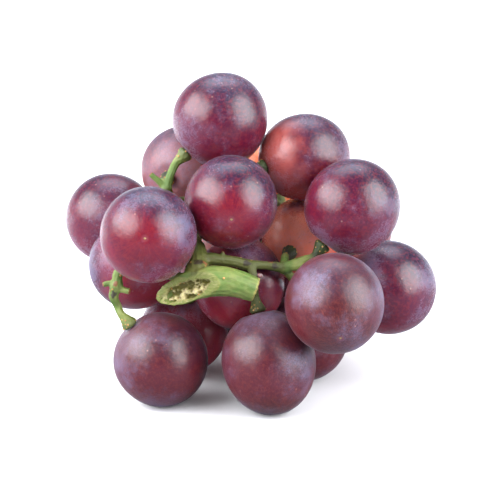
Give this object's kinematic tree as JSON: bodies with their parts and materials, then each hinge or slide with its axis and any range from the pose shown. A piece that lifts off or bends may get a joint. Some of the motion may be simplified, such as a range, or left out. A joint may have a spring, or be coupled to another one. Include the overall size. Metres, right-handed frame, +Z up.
{
  "type": "bunch of grapes",
  "caption": "Small cut bunch of round dark red grapes lying on its side, held by one branched green stem with a thick slanting cut end.",
  "frame": {"origin": "on the surface that the bunch lies on, under the middle of its bounding box", "axes": "+X along the bunch's longest extent, along which the cut main stem lies; -Y is the side that shows the cut stem; +Z up"},
  "size_m": [0.1033, 0.0977, 0.0846],
  "materials": {
    "berry_skin": "dark wine red skin with a thin waxy bloom, brighter red and finely streaked round the blossom scar",
    "green_stem": "fresh yellow-green bark, fine lengthwise ridges, corky tan specks, pale torn pith at the cut"
  },
  "bodies": {
    "root": {"grape_01": "berry_skin", "grape_02": "berry_skin", "grape_03": "berry_skin", "grape_04": "berry_skin", "grape_05": "berry_skin", "grape_06": "berry_skin", "grape_07": "berry_skin", "grape_08": "berry_skin", "grape_09": "berry_skin", "grape_10": "berry_skin", "grape_11": "berry_skin", "grape_12": "berry_skin", "grape_13": "berry_skin", "grape_14": "berry_skin", "grape_15": "berry_skin", "grape_16": "berry_skin", "grape_17": "berry_skin", "grape_18": "berry_skin", "grape_19": "berry_skin", "grape_20": "berry_skin", "grape_21": "berry_skin", "grape_22": "berry_skin", "grape_23": "berry_skin", "stem": "green_stem"}
  },
  "joints": []
}
